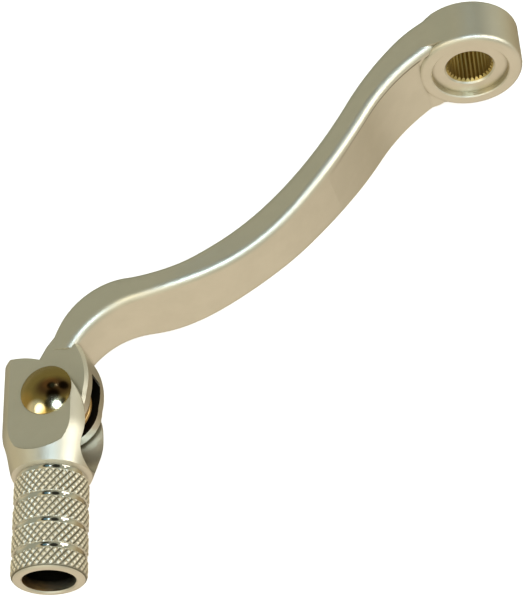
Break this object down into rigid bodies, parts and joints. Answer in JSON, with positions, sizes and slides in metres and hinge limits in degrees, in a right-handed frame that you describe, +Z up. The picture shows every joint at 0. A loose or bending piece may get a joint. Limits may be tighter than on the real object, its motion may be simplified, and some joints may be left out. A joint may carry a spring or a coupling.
{
  "type": "folding-tip gear shift lever",
  "caption": "Motorcycle gear shift lever: serrated boss, curved arm and a spring-loaded folding toe tip with a grooved, knurled barrel.",
  "frame": {"origin": "middle of the serrated bore, on its axis", "axes": "+Y along the shift shaft into the engine, -Y outboard, +Z up, the arm leads towards -X and -Y"},
  "size_m": [0.1567, 0.1571, 0.031],
  "materials": {
    "blasted_aluminium": "satin, fine bead blast",
    "turned_aluminium": "satin with bright turned grooves and a diamond knurl",
    "polished_steel": "polished dome",
    "washer_steel": "zinc plated, satin",
    "bush_brass": "turned",
    "spring_steel": "oiled, dark"
  },
  "bodies": {
    "lever": {"lever_arm": "blasted_aluminium", "return_spring": "spring_steel"},
    "tip": {"toe_tip": "turned_aluminium", "pivot_rivet": "polished_steel", "rivet_washer": "washer_steel", "pivot_bush": "bush_brass"}
  },
  "joints": [
    {"name": "tip_fold", "type": "hinge", "parent": "lever", "child": "tip", "pos_m": [-0.1269, -0.0977, 0], "axis": [0, 0, 1], "range_deg": [0, 90], "stiffness_Nm_per_rad": 0.12, "springref_deg": -68.75, "deforming": ["return_spring"]}
  ]
}
